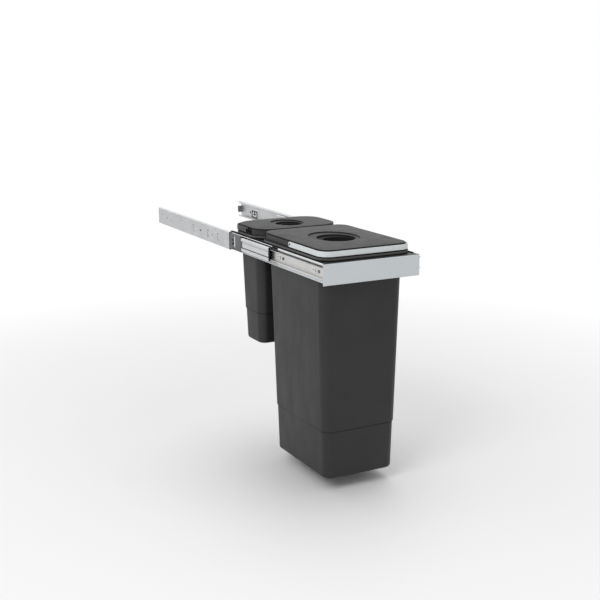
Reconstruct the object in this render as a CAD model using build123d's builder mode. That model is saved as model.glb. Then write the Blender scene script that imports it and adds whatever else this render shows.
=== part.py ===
from build123d import *
import os

# Pull-out bin frame for a narrow kitchen base unit. Two ball-bearing slides
# carry a folded steel frame, and two lidded waste bins hang in it by their rims.
# X runs to the right, Y into the unit and Z up. The origin is midway between
# the unit's side walls, at its front edge, on the centre line of the slides.
# The frame stands pulled out to its stop. All sizes are in millimetres.

# Unit opening and travel
opening_width = 264.0
slide_travel = 470.0
middle_travel_share = 0.5
outer_cage_travel_share = 0.25
inner_cage_travel_share = 0.75

# Clearances
ball_gap = 0.3
web_gap = 0.3
lip_gap = 0.5
seat_gap = 0.3
screw_gap = 0.2
pivot_gap = 0.05
cut_overrun = 2.0

# Slides: three nested members on each side wall
slide_depth = 12.7
rail_setback = 4.0
rail_length = 500.0
rail_height = 45.0
rail_steel = 1.2
outer_rail_depth = 9.7
outer_lip = 4.5
web_bend = 1.0
middle_setback = 16.0
middle_back_setback = 24.0
middle_rail_depth = 10.6
middle_lip = 3.7
groove_height = 8.0
groove_width = 1.2
groove_depth = 0.5
inner_steel = 1.0
inner_curl = 0.8
inner_curl_tip = 0.3
inner_rail_setback = 1.0
outer_ball_radius = 2.0
inner_ball_radius = 1.5
balls_per_row = 3
ball_pitch = 63.0
ball_end = 9.0
cage_sheet = 0.6
cage_length = 210.0
outer_cage_setback = 52.5
inner_cage_setback = 94.0
inner_cage_fork = 22.5
cage_window_place = 47.0
cage_window_radius = 2.4
cage_window_height = 5.5

# Slide fixings: holes for wall screws, hooked tabs, screws into the side plates
wall_screw_radius = 2.3
wall_screw_places = (106.0, 433.0)
adjusting_slot_place = 186.0
adjusting_slot_length = 10.0
hook_places = (67.0, 134.0, 232.0, 396.0)
hook_length = 13.0
hook_height = 17.0
hook_slit = 1.3
hook_nib_length = 3.0
slide_screw_places = (21.5, 192.5, 400.0)
slide_screw_radius = 1.9
slide_screw_head_radius = 3.6
slide_screw_head = 1.6
slide_screw_tip = 2.5
spare_hole_radius = 1.7
spare_hole_offset = 25.0
spare_slot_length = 8.0
spare_slot_offset = 15.0
bumper_height = 18.0
bumper_length = 6.7

# Frame sheet metal
sheet = 1.5
sheet_bend = 1.5
closing_gap = 1.5
frame_top = 20.1
frame_bottom = -22.5
top_rail_lip = 4.5
top_rail_width = 14.3
panel_side_gap = 9.3
panel_bottom = -28.8
panel_top_return = 33.0
panel_bottom_return = 12.0
panel_notch = 10.0
plate_post = 8.0
plate_relief = 4.6
crossbar_drop = 16.0
middle_crossbar_width = 38.0
rear_crossbar_width = 14.5

# Bins
wall = 2.2
rim_side_gap = 4.8
rim_height = 7.0
skirt_lift = 2.5
foot_inset = 5.0
rim_ledge = 6.3
collar_wall = 2.5
collar_height = 13.6
lid_gap = 0.3
large_corner = 28.0
small_corner = 48.0
step_inset = 2.0
base_round = 9.0
body_corner = 23.0
rim_overhang = 6.5

large_rim_share = 0.66
large_panel_gap = 13.0
large_body_side_gap = 2.3
large_body_side_taper = 18.2
large_body_front_inset = 21.0
large_body_back_inset = 22.0
large_body_front_taper = 10.5
large_body_back_taper = 4.0
large_depth = 515.1
large_step_height = 115.0

bins_gap = 12.0
small_back_gap = 2.0
small_body_side_gap = 4.0
small_body_side_taper = 3.5
small_body_front_inset = 22.0
small_body_back_inset = 17.5
small_body_front_taper = 6.0
small_body_back_taper = 17.0
small_depth = 267.6
small_step_height = 78.0

# Lids
lid_edge = 3.9
lid_round = 2.4
lid_skin = 2.2
plug_depth = 8.0
plug_wall = 1.8
plug_gap = 0.5
dish_depth = 3.0
ring_depth = 6.0
well_depth = 17.0
large_dish_radius = 62.0
large_ring_radius = 46.5
large_well_radius = 37.0
small_dish_radius = 43.0
small_ring_radius = 33.0
small_well_radius = 27.0
ring_shift_shares = (0.05, -0.065)
well_shift_shares = (0.13, -0.12)

# Carrying handles and their pivots
strap_height = 11.8
strap_thickness = 2.5
strap_gap = 2.0
large_strap_tuck = 2.0
small_strap_tuck = 8.0
strap_lift = 2.7
large_strap_tail = 7.0
small_strap_tail = 2.5
small_pivot_shift = 10.5
pivot_radius = 1.4
pivot_head_radius = 2.2
pivot_head = 0.9
spacer_radius = 5.0

# Places worked out from the sizes above
half_opening = opening_width / 2
outer_half = rail_height / 2
outer_front = rail_setback
outer_back = outer_front + rail_length
panel_back = outer_front - closing_gap - slide_travel
panel_front = panel_back - sheet
frame_back = outer_back - bumper_length - seat_gap - slide_travel
plate_outer = half_opening - slide_depth
plate_inner = plate_outer - sheet
lip_outer = half_opening - outer_rail_depth - lip_gap
aperture_half = lip_outer - top_rail_width
panel_half = half_opening - panel_side_gap

outer_race = outer_ball_radius + ball_gap
outer_ball_depth = outer_rail_depth - rail_steel - outer_race
outer_ball_height = outer_half - rail_steel - outer_race
middle_half = outer_ball_height - outer_race
inner_race = inner_ball_radius + ball_gap
inner_ball_depth = middle_rail_depth - rail_steel - inner_race
inner_ball_height = middle_half - rail_steel - inner_race
inner_half = inner_ball_height - inner_race
outer_cage_depth = rail_steel + web_gap
middle_web_depth = outer_cage_depth + cage_sheet + web_gap
inner_cage_depth = middle_web_depth + rail_steel + web_gap
inner_rail_near = inner_cage_depth + cage_sheet + web_gap

middle_front = outer_front + middle_setback - slide_travel * middle_travel_share
middle_length = rail_length - middle_setback - middle_back_setback
middle_back = middle_front + middle_length
outer_cage_front = outer_front + outer_cage_setback - slide_travel * outer_cage_travel_share
inner_cage_front = outer_front + inner_cage_setback - slide_travel * inner_cage_travel_share
inner_front = panel_back + inner_rail_setback

rim_half = lip_outer - rim_side_gap
collar_half = rim_half - rim_ledge
rim_top = frame_top + rim_height
collar_top = rim_top + collar_height
lid_bottom = collar_top + lid_gap
lid_top = lid_bottom + lid_edge
strap_bottom = rim_top + strap_lift
pivot_height = strap_bottom + strap_height / 2
strap_inner = collar_half + strap_gap
strap_outer = strap_inner + strap_thickness

sides = (("left", -1), ("right", 1))

os.makedirs("parts", exist_ok=True)


def finish(solid, name):
    """Label a finished piece and write it to its own file."""
    solid.label = name
    export_step(solid, f"parts/{name}.step")


def cross_plane(back):
    """A plane across the slides; what is extruded from it runs forward."""
    return Plane.XZ.offset(-back)


def side_plane(x):
    """An upright plane along the slides; what is extruded from it runs to +X."""
    return Plane.YZ.offset(x)


def from_wall(sign, depth):
    """The X of a point that lies so deep inside the unit's side wall."""
    return sign * (half_opening - depth)


# Slide members


def channel_points(sign, near, far, half, lip, steel):
    """Centre line of a channel whose web is at near and whose lips are at far."""
    web_x = from_wall(sign, near)
    lip_x = from_wall(sign, far)
    flange_z = half - steel / 2
    lip_z = half - lip
    return (
        (lip_x, lip_z),
        (lip_x, flange_z),
        (web_x, flange_z),
        (web_x, -flange_z),
        (lip_x, -flange_z),
        (lip_x, -lip_z),
    )


def make_outer_rail(name, sign):
    """The member that is screwed to the unit's wall; its lips wrap the outer balls."""
    race_bend = outer_race + rail_steel / 2
    corner_bend = web_bend + rail_steel / 2
    points = channel_points(
        sign, rail_steel / 2, outer_rail_depth - rail_steel / 2, outer_half, outer_lip, rail_steel
    )
    web_x = min(from_wall(sign, 0), from_wall(sign, rail_steel)) - cut_overrun
    web_cut = rail_steel + 2 * cut_overrun
    with BuildPart() as rail:
        with BuildSketch(cross_plane(outer_back)):
            with BuildLine():
                FilletPolyline(*points, radius=[race_bend, corner_bend, corner_bend, race_bend])
            trace(line_width=rail_steel)
        extrude(amount=rail_length)
        with BuildSketch(side_plane(web_x)):
            with Locations(*((outer_front + place, 0) for place in wall_screw_places)):
                Circle(wall_screw_radius)
            with Locations((outer_front + adjusting_slot_place, 0)):
                SlotOverall(adjusting_slot_length, 2 * wall_screw_radius)
        extrude(amount=web_cut, mode=Mode.SUBTRACT)
        # A hooked tab is left where a slit is punched round three of its sides
        with BuildSketch(side_plane(web_x)):
            with Locations(*((outer_front + place, 0) for place in hook_places)):
                Rectangle(hook_length, hook_height)
            with Locations(*((outer_front + place - hook_slit, 0) for place in hook_places)):
                Rectangle(hook_length, hook_height - 2 * hook_slit, mode=Mode.SUBTRACT)
            with Locations(
                *((outer_front + place + hook_length / 2 - hook_nib_length / 2, 0) for place in hook_places)
            ):
                Rectangle(hook_nib_length, hook_slit)
        extrude(amount=web_cut, mode=Mode.SUBTRACT)
    finish(rail.part, name)


def make_middle_rail(name, sign):
    """The telescopic member: outer balls run on its back, inner balls inside its lips."""
    race_bend = inner_race + rail_steel / 2
    corner_bend = web_bend + rail_steel / 2
    points = channel_points(
        sign,
        middle_web_depth + rail_steel / 2,
        middle_rail_depth - rail_steel / 2,
        middle_half,
        middle_lip,
        rail_steel,
    )
    with BuildPart() as rail:
        with BuildSketch(cross_plane(middle_back)):
            with BuildLine():
                FilletPolyline(*points, radius=[race_bend, corner_bend, corner_bend, race_bend])
            trace(line_width=rail_steel)
            # Two stiffening grooves run along the wall side of the web
            with Locations(
                (from_wall(sign, middle_web_depth), groove_height),
                (from_wall(sign, middle_web_depth), -groove_height),
            ):
                Rectangle(2 * groove_depth, groove_width, mode=Mode.SUBTRACT)
        extrude(amount=middle_length)
    finish(rail.part, name)


def fixing_holes():
    """Side view of each screw hole, with a spare slot and a spare hole behind it."""
    with BuildSketch() as holes:
        for place in slide_screw_places:
            with Locations((panel_back + place, 0)):
                Circle(slide_screw_radius + screw_gap)
            with Locations((panel_back + place + spare_slot_offset, 0)):
                SlotOverall(spare_slot_length, 2 * spare_hole_radius, rotation=90)
            with Locations((panel_back + place + spare_hole_offset, 0)):
                Circle(spare_hole_radius)
    return holes.sketch


def make_inner_rail(name, sign):
    """The member that is screwed to the frame's side plate and runs on the inner balls."""
    curl_bend = inner_curl + inner_steel / 2
    curl_x = from_wall(sign, inner_rail_near + inner_steel / 2)
    web_x = from_wall(sign, slide_depth - inner_steel / 2)
    flange_z = inner_half - inner_steel / 2
    curl_z = flange_z + curl_bend + inner_curl_tip
    points = (
        (curl_x, curl_z),
        (curl_x, flange_z),
        (web_x, flange_z),
        (web_x, -flange_z),
        (curl_x, -flange_z),
        (curl_x, -curl_z),
    )
    cut_x = min(from_wall(sign, slide_depth), from_wall(sign, slide_depth - inner_steel)) - cut_overrun
    with BuildPart() as rail:
        with BuildSketch(cross_plane(frame_back)):
            with BuildLine():
                FilletPolyline(*points, radius=[curl_bend, curl_bend, curl_bend, curl_bend])
            trace(line_width=inner_steel)
        extrude(amount=frame_back - inner_front)
        with BuildSketch(side_plane(cut_x)):
            add(fixing_holes())
        extrude(amount=inner_steel + 2 * cut_overrun, mode=Mode.SUBTRACT)
    finish(rail.part, name)


def ball_places(front):
    """Y of each ball in a row; the rows fill the back of their cage."""
    last = front + cage_length - ball_end
    return [last - ball_pitch * count for count in range(balls_per_row)]


def make_cage(name, sign, front, web_depth, flange_end, ball_depth, ball_height, pocket, forked):
    """A strip folded into a channel, with a pocket round each ball."""
    web_x = from_wall(sign, web_depth + cage_sheet / 2)
    end_x = from_wall(sign, flange_end)
    points = ((end_x, ball_height), (web_x, ball_height), (web_x, -ball_height), (end_x, -ball_height))
    with BuildPart() as cage:
        with BuildSketch(cross_plane(front + cage_length)):
            with BuildLine():
                FilletPolyline(*points, radius=cage_sheet)
            trace(line_width=cage_sheet)
        extrude(amount=cage_length)
        with BuildSketch(Plane.XY.offset(-ball_height - cage_sheet)):
            with Locations(*((from_wall(sign, ball_depth), y) for y in ball_places(front))):
                Circle(pocket)
        extrude(amount=2 * (ball_height + cage_sheet), mode=Mode.SUBTRACT)
        # One kind of cage is forked at its front end, the other has two windows there
        cut_x = min(from_wall(sign, web_depth), from_wall(sign, web_depth + cage_sheet))
        with BuildSketch(side_plane(cut_x)):
            if forked:
                with Locations((front, 0)):
                    Rectangle(2 * inner_cage_fork, 2 * (ball_height - 2 * cage_sheet))
            else:
                for height in (cage_window_height, -cage_window_height):
                    with Locations((front + cage_window_place, height)):
                        Circle(cage_window_radius)
        extrude(amount=cage_sheet, mode=Mode.SUBTRACT)
    finish(cage.part, name)


def make_balls(name, sign, front, depth, height, radius):
    """The balls of one cage: an upper and a lower row."""
    with BuildPart() as balls:
        for z in (height, -height):
            with Locations(*((from_wall(sign, depth), y, z) for y in ball_places(front))):
                Sphere(radius)
    finish(balls.part, name)


def make_bumper(name, sign):
    """The block at the back of the outer rail that the inner rail closes against."""
    with BuildPart() as bumper:
        with BuildSketch(cross_plane(outer_back)):
            with Locations((from_wall(sign, (rail_steel + slide_depth - lip_gap) / 2), 0)):
                RectangleRounded(slide_depth - lip_gap - rail_steel, bumper_height, web_bend)
        extrude(amount=bumper_length)
    finish(bumper.part, name)


def make_slide_screws(name, sign):
    """The screws that hold an inner rail to the frame's side plate."""
    head_outer = from_wall(sign, slide_depth - inner_steel - slide_screw_head)
    head_inner = from_wall(sign, slide_depth - inner_steel)
    tip = sign * (plate_inner - slide_screw_tip)
    shank = slide_screw_head + inner_steel + sheet + slide_screw_tip
    places = [(panel_back + place, 0) for place in slide_screw_places]
    with BuildPart() as screws:
        with BuildSketch(side_plane(min(head_outer, tip))):
            with Locations(*places):
                Circle(slide_screw_radius)
        extrude(amount=shank)
        with BuildSketch(side_plane(min(head_outer, head_inner))):
            with Locations(*places):
                Circle(slide_screw_head_radius)
        extrude(amount=slide_screw_head)
    finish(screws.part, name)


for side, sign in sides:
    make_outer_rail(f"{side}_outer_rail", sign)
    make_middle_rail(f"{side}_middle_rail", sign)
    make_inner_rail(f"{side}_inner_rail", sign)
    make_bumper(f"{side}_rail_bumper", sign)
    make_slide_screws(f"{side}_slide_screws", sign)
    make_cage(
        f"{side}_outer_cage",
        sign,
        outer_cage_front,
        outer_cage_depth,
        outer_rail_depth - rail_steel - web_gap,
        outer_ball_depth,
        outer_ball_height,
        outer_race,
        False,
    )
    make_cage(
        f"{side}_inner_cage",
        sign,
        inner_cage_front,
        inner_cage_depth,
        middle_rail_depth - rail_steel - web_gap,
        inner_ball_depth,
        inner_ball_height,
        inner_race,
        True,
    )
    make_balls(
        f"{side}_outer_balls", sign, outer_cage_front, outer_ball_depth, outer_ball_height, outer_ball_radius
    )
    make_balls(
        f"{side}_inner_balls", sign, inner_cage_front, inner_ball_depth, inner_ball_height, inner_ball_radius
    )


# Frame


def make_side_plate(name, sign):
    """Upright plate between the bins and a slide, with an outward foot."""
    plate_x = sign * (plate_outer - sheet / 2)
    foot_z = frame_bottom + sheet / 2
    cut_x = min(sign * plate_outer, sign * plate_inner) - cut_overrun
    with BuildPart() as plate:
        with BuildSketch(cross_plane(frame_back)):
            with BuildLine():
                FilletPolyline(
                    (sign * lip_outer, foot_z),
                    (plate_x, foot_z),
                    (plate_x, frame_top - sheet),
                    radius=sheet_bend,
                )
            trace(line_width=sheet)
        extrude(amount=frame_back - panel_back)
        # Under the top rail the plate is cut away between a post at each end
        with BuildSketch(side_plane(cut_x)):
            add(fixing_holes())
            with Locations(((panel_back + frame_back) / 2, frame_top - sheet)):
                Rectangle(frame_back - panel_back - 2 * plate_post, 2 * plate_relief)
        extrude(amount=sheet + 2 * cut_overrun, mode=Mode.SUBTRACT)
    finish(plate.part, name)


def make_top_rail(name, sign):
    """Angle strip that the rims hang on; its lip turns down over the slide."""
    lip_x = sign * (lip_outer - sheet / 2)
    top_z = frame_top - sheet / 2
    with BuildPart() as strip:
        with BuildSketch(cross_plane(frame_back)):
            with BuildLine():
                FilletPolyline(
                    (lip_x, frame_top - top_rail_lip),
                    (lip_x, top_z),
                    (sign * aperture_half, top_z),
                    radius=sheet_bend,
                )
            trace(line_width=sheet)
        extrude(amount=frame_back - panel_back)
    finish(strip.part, name)


for side, sign in sides:
    make_side_plate(f"{side}_side_plate", sign)
    make_top_rail(f"{side}_top_rail", sign)

# Front panel: one sheet folded back at its top and bottom edges
face_y = panel_front + sheet / 2
with BuildPart() as front_panel:
    with BuildSketch(side_plane(-panel_half)):
        with BuildLine():
            FilletPolyline(
                (panel_back + panel_bottom_return, panel_bottom + sheet / 2),
                (face_y, panel_bottom + sheet / 2),
                (face_y, frame_top - sheet / 2),
                (panel_back + panel_top_return, frame_top - sheet / 2),
                radius=sheet_bend,
            )
        trace(line_width=sheet)
    extrude(amount=2 * panel_half)
    # The returns stop short of the corners
    corner_depth = panel_top_return + cut_overrun
    top_corner = panel_half - aperture_half + seat_gap
    with BuildSketch(Plane.XY.offset(frame_top - sheet - sheet_bend)):
        for sign in (-1, 1):
            with Locations((sign * (panel_half - top_corner / 2), panel_back + corner_depth / 2)):
                Rectangle(top_corner, corner_depth)
    extrude(amount=sheet + sheet_bend + cut_overrun, mode=Mode.SUBTRACT)
    with BuildSketch(Plane.XY.offset(panel_bottom - cut_overrun)):
        for sign in (-1, 1):
            with Locations((sign * (panel_half - panel_notch / 2), panel_back + corner_depth / 2)):
                Rectangle(panel_notch, corner_depth)
    extrude(amount=cut_overrun + sheet + sheet_bend, mode=Mode.SUBTRACT)
finish(front_panel.part, "front_panel")


def make_crossbar(name, front, width):
    """Channel that ties the side plates together under the rims."""
    top_z = frame_top - sheet - sheet / 2
    low_z = frame_top - sheet - crossbar_drop
    with BuildPart() as bar:
        with BuildSketch(side_plane(-plate_inner)):
            with BuildLine():
                FilletPolyline(
                    (front + sheet / 2, low_z),
                    (front + sheet / 2, top_z),
                    (front + width - sheet / 2, top_z),
                    (front + width - sheet / 2, low_z),
                    radius=sheet_bend,
                )
            trace(line_width=sheet)
        extrude(amount=2 * plate_inner)
    finish(bar.part, name)


large_front = panel_back + large_panel_gap
small_back = frame_back - small_back_gap
large_back = large_front + (small_back - large_front - bins_gap) * large_rim_share
small_front = large_back + bins_gap
between_front = large_back - large_body_back_inset
between_back = small_front + small_body_front_inset
make_crossbar(
    "middle_crossbar",
    (between_front + between_back - middle_crossbar_width) / 2,
    middle_crossbar_width,
)
make_crossbar("rear_crossbar", frame_back - rear_crossbar_width, rear_crossbar_width)


# Bins


def outline(height, half, span, corners):
    """A level outline, symmetric in X, with its own corner radii in front and behind."""
    with BuildSketch(Plane.XY.offset(height)) as shape:
        with Locations((0, sum(span) / 2)):
            Rectangle(2 * half, span[1] - span[0])
        fillet(shape.vertices().group_by(Axis.Y)[0], corners[0])
        fillet(shape.vertices().group_by(Axis.Y)[-1], corners[1])
    return shape.sketch


def inset_outline(height, half, span, corners, inset):
    """The same outline moved in by inset all round."""
    inner_span = (span[0] + inset, span[1] - inset)
    inner_corners = [corner - inset for corner in corners]
    return outline(height, half - inset, inner_span, inner_corners)


def body_limits(height, body, inset):
    """Half width, front and back of the tapered body at a height, moved in by inset."""
    drop = (frame_top - height) / body["depth"]
    half = body["half"] - body["side_taper"] * drop - inset
    front = body["front"] + body["front_taper"] * drop + inset
    back = body["back"] - body["back_taper"] * drop - inset
    return half, front, back


def tapered_block(low, high, body, inset):
    """The tapered body between two heights, with round corners, moved in from its skin by inset."""
    low_half, low_front, low_back = body_limits(low, body, inset)
    high_half, high_front, high_back = body_limits(high, body, inset)
    with BuildPart() as block:
        with BuildSketch(cross_plane(high_back)):
            with BuildLine():
                Polyline((-low_half, low), (low_half, low), (high_half, high), (-high_half, high), close=True)
            make_face()
        extrude(amount=high_back - high_front)
        with BuildSketch(side_plane(-high_half)):
            with BuildLine():
                Polyline((low_front, low), (low_back, low), (high_back, high), (high_front, high), close=True)
            make_face()
        extrude(amount=2 * high_half, mode=Mode.INTERSECT)
        levels = block.edges().group_by(Axis.Z)
        upright = block.edges() - levels[0] - levels[-1]
        fillet(upright, body_corner - inset)
    return block.part


def rounded_base(block, radius):
    """The same block with its lowest edge rounded."""
    with BuildPart() as rounded:
        add(block)
        fillet(rounded.edges().group_by(Axis.Z)[0], radius)
    return rounded.part


def make_bin(name, body, rim, collar, pivot_y):
    """Tapered container with a hooked rim, and a collar that the lid closes."""
    base = frame_top - body["depth"]
    step = base + body["step"]
    rim_web = rim_top - wall
    # An inner wall of the hooked rim stands on the rails, and its skirt ends above them
    with BuildPart() as foot:
        extrude(
            to_extrude=inset_outline(frame_top, rim_half, rim["span"], rim["corners"], foot_inset),
            amount=rim_height,
        )
        extrude(
            to_extrude=inset_outline(frame_top, rim_half, rim["span"], rim["corners"], foot_inset + wall),
            amount=rim_height,
            mode=Mode.SUBTRACT,
        )
    with BuildPart() as hook:
        extrude(
            to_extrude=inset_outline(frame_top, rim_half, rim["span"], rim["corners"], wall),
            amount=rim_web - frame_top,
        )
        add(tapered_block(frame_top, rim_web, body, 0), mode=Mode.SUBTRACT)
    with BuildPart() as container:
        add(rounded_base(tapered_block(base, step, body, step_inset), base_round))
        add(tapered_block(step, rim_top, body, 0))
        extrude(
            to_extrude=outline(frame_top + skirt_lift, rim_half, rim["span"], rim["corners"]),
            amount=rim_height - skirt_lift,
        )
        extrude(
            to_extrude=outline(rim_top, collar_half, collar["span"], collar["corners"]), amount=collar_height
        )
        add(hook.part, mode=Mode.SUBTRACT)
        add(foot.part)
        lower_space = tapered_block(base + wall, step + wall, body, step_inset + wall)
        add(rounded_base(lower_space, base_round - wall), mode=Mode.SUBTRACT)
        add(tapered_block(step + wall, rim_top, body, wall), mode=Mode.SUBTRACT)
        extrude(
            to_extrude=inset_outline(rim_top, collar_half, collar["span"], collar["corners"], collar_wall),
            amount=collar_height + cut_overrun,
            mode=Mode.SUBTRACT,
        )
        with BuildSketch(side_plane(-rim_half)):
            with Locations((pivot_y, pivot_height)):
                Circle(pivot_radius + pivot_gap)
        extrude(amount=2 * rim_half, mode=Mode.SUBTRACT)
    finish(container.part, name)


def make_lid(name, collar, radii):
    """Flat lid with a plug that fits the collar and a finger recess in three round steps."""
    span = collar["span"]
    corners = collar["corners"]
    centre_y = sum(span) / 2
    plug_inset = collar_wall + plug_gap
    plug_bottom = lid_bottom - plug_depth
    # The deeper steps are set towards one side of the dish
    shift_shares = ((0, 0), ring_shift_shares, well_shift_shares)
    places = [(radii[0] * share_x, centre_y + radii[0] * share_y) for share_x, share_y in shift_shares]
    depths = (dish_depth, ring_depth, well_depth)
    with BuildPart() as lid:
        extrude(to_extrude=outline(lid_bottom, collar_half, span, corners), amount=lid_edge)
        fillet(lid.faces().sort_by(Axis.Z)[-1].edges(), lid_round)
        extrude(
            to_extrude=inset_outline(plug_bottom, collar_half, span, corners, plug_inset), amount=plug_depth
        )
        extrude(
            to_extrude=inset_outline(plug_bottom, collar_half, span, corners, plug_inset + plug_wall),
            amount=plug_depth + lid_edge - lid_skin,
            mode=Mode.SUBTRACT,
        )
        for place, radius, depth in zip(places, radii, depths):
            with BuildSketch(Plane.XY.offset(lid_top - depth - lid_skin)):
                with Locations(place):
                    Circle(radius + lid_skin)
            extrude(amount=depth)
        for place, radius, depth in zip(places, radii, depths):
            with BuildSketch(Plane.XY.offset(lid_top - depth)):
                with Locations(place):
                    Circle(radius)
            extrude(amount=depth + cut_overrun, mode=Mode.SUBTRACT)
    finish(lid.part, name)


def make_handle(name, far, towards, bend, pivot_y, tail):
    """Strap bent round one end of the collar; its arms swing on the pivots."""
    arm_end = pivot_y - towards * strap_height
    round_y = pivot_y + towards * (strap_height / 2 - tail)
    span = (min(far, arm_end), max(far, arm_end))
    bends = (bend, strap_thickness) if towards < 0 else (strap_thickness, bend)
    with BuildPart() as handle:
        extrude(
            to_extrude=inset_outline(strap_bottom, strap_inner, span, bends, -strap_thickness),
            amount=strap_height,
        )
        extrude(
            to_extrude=outline(strap_bottom, strap_inner, span, bends),
            amount=strap_height,
            mode=Mode.SUBTRACT,
        )
        # Side view of the strap: straight, with a round end behind the pivot
        reach = abs(far - round_y) + strap_thickness
        with BuildSketch(side_plane(-strap_outer)):
            with Locations((round_y, pivot_height)):
                Circle(strap_height / 2)
            with Locations((round_y + towards * reach / 2, pivot_height)):
                Rectangle(reach, strap_height)
        extrude(amount=2 * strap_outer, mode=Mode.INTERSECT)
        with BuildSketch(side_plane(-strap_outer)):
            with Locations((pivot_y, pivot_height)):
                Circle(pivot_radius + pivot_gap)
        extrude(amount=2 * strap_outer, mode=Mode.SUBTRACT)
    finish(handle.part, name)


def make_pivots(name, pivot_y):
    """Two headed pins that hold a handle's arms to the collar, with a spacer on each."""
    collar_inner = collar_half - collar_wall
    spacer_end = strap_inner - seat_gap
    head_x = strap_outer + seat_gap
    with BuildPart() as pivots:
        for sign in (-1, 1):
            with BuildSketch(side_plane(min(sign * collar_inner, sign * head_x))):
                with Locations((pivot_y, pivot_height)):
                    Circle(pivot_radius)
            extrude(amount=head_x - collar_inner)
            with BuildSketch(side_plane(min(sign * collar_half, sign * spacer_end))):
                with Locations((pivot_y, pivot_height)):
                    Circle(spacer_radius)
            extrude(amount=spacer_end - collar_half)
            with BuildSketch(side_plane(min(sign * head_x, sign * (head_x + pivot_head)))):
                with Locations((pivot_y, pivot_height)):
                    Circle(pivot_head_radius)
            extrude(amount=pivot_head)
    finish(pivots.part, name)


large_body = {
    "half": aperture_half - large_body_side_gap,
    "side_taper": large_body_side_taper,
    "front": large_front + large_body_front_inset,
    "back": large_back - large_body_back_inset,
    "front_taper": large_body_front_taper,
    "back_taper": large_body_back_taper,
    "depth": large_depth,
    "step": large_step_height,
}
large_rim = {"span": (large_front, large_back), "corners": (large_corner + rim_overhang, large_corner)}
large_collar = {"span": (large_front + rim_overhang, large_back), "corners": (large_corner, large_corner)}
large_pivot = sum(large_collar["span"]) / 2
make_bin("large_bin", large_body, large_rim, large_collar, large_pivot)
make_lid("large_lid", large_collar, (large_dish_radius, large_ring_radius, large_well_radius))
large_strap_front = large_collar["span"][0] - strap_gap
large_bend = large_corner - large_strap_tuck
make_handle("large_handle", large_strap_front, -1, large_bend, large_pivot, large_strap_tail)
make_pivots("large_handle_pivots", large_pivot)

small_body = {
    "half": aperture_half - small_body_side_gap,
    "side_taper": small_body_side_taper,
    "front": small_front + small_body_front_inset,
    "back": small_back - small_body_back_inset,
    "front_taper": small_body_front_taper,
    "back_taper": small_body_back_taper,
    "depth": small_depth,
    "step": small_step_height,
}
small_rim = {"span": (small_front, small_back), "corners": (small_corner, small_corner + rim_overhang)}
small_collar = {"span": (small_front, small_back - rim_overhang), "corners": (small_corner, small_corner)}
small_pivot = sum(small_collar["span"]) / 2 - small_pivot_shift
make_bin("small_bin", small_body, small_rim, small_collar, small_pivot)
make_lid("small_lid", small_collar, (small_dish_radius, small_ring_radius, small_well_radius))
small_strap_back = small_collar["span"][1] + strap_gap
small_bend = small_corner - small_strap_tuck
make_handle("small_handle", small_strap_back, 1, small_bend, small_pivot, small_strap_tail)
make_pivots("small_handle_pivots", small_pivot)
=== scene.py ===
# %% [markdown]
# # Dressing a pull-out bin frame
# This notebook takes the engineering model of a pull-out waste bin frame and gives it its
# finished look. The slides, folded sheets and screws keep their exact solids and get
# procedural materials. The two bins, the two lids and the two strap handles are modelled
# again with soft edges, because moulded plastic never has a knife edge, and a highlight
# along an edge is what makes it read as plastic. The black strips that keep the inner
# balls apart are drawn again too, and a few thin trims are added.

# %% Load the frame
import bpy
import bmesh
import math
from mathutils import Matrix, Vector


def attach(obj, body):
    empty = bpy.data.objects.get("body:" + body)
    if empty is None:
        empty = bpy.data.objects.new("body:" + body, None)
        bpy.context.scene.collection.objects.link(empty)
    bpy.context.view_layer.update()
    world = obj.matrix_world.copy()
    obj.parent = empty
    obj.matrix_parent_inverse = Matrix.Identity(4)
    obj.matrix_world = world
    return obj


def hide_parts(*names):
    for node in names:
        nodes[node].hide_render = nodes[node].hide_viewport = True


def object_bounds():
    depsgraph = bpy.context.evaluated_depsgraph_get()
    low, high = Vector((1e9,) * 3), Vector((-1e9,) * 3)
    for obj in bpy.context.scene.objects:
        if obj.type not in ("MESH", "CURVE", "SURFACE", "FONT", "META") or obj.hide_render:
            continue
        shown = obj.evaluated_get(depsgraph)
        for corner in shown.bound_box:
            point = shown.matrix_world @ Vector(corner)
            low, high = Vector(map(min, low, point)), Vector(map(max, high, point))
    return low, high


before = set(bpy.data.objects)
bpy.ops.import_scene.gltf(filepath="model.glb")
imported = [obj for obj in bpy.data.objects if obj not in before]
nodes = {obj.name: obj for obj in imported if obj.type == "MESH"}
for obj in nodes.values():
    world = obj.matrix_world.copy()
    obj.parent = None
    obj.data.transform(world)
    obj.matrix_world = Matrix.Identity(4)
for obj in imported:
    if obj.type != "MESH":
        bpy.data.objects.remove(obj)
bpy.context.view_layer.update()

# %% [markdown]
# The frame is in metres: X to the right, Y into the unit and Z up, with the slides' centre
# line at Z = 0. Small sizes are easier to read in millimetres, so the helpers below take
# millimetres, and one unit converts them.

# %% Units and helpers
MM = 0.001
SIDES = {"left": -1, "right": 1}
MOULDED_ANGLE = 35.0


def new_piece(name, bm, body, finishes, stands_for=()):
    """Turn a bmesh into an object that rides on a body and stands for CAD nodes."""
    mesh = bpy.data.meshes.new(name)
    bmesh.ops.recalc_face_normals(bm, faces=bm.faces)
    bm.to_mesh(mesh)
    bm.free()
    mesh.shade_smooth()
    for material in finishes:
        mesh.materials.append(material)
    piece = bpy.data.objects.new(name, mesh)
    bpy.context.scene.collection.objects.link(piece)
    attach(piece, body)
    if stands_for:
        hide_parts(*stands_for)
    print(name, "faces", len(mesh.polygons))
    return piece


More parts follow.
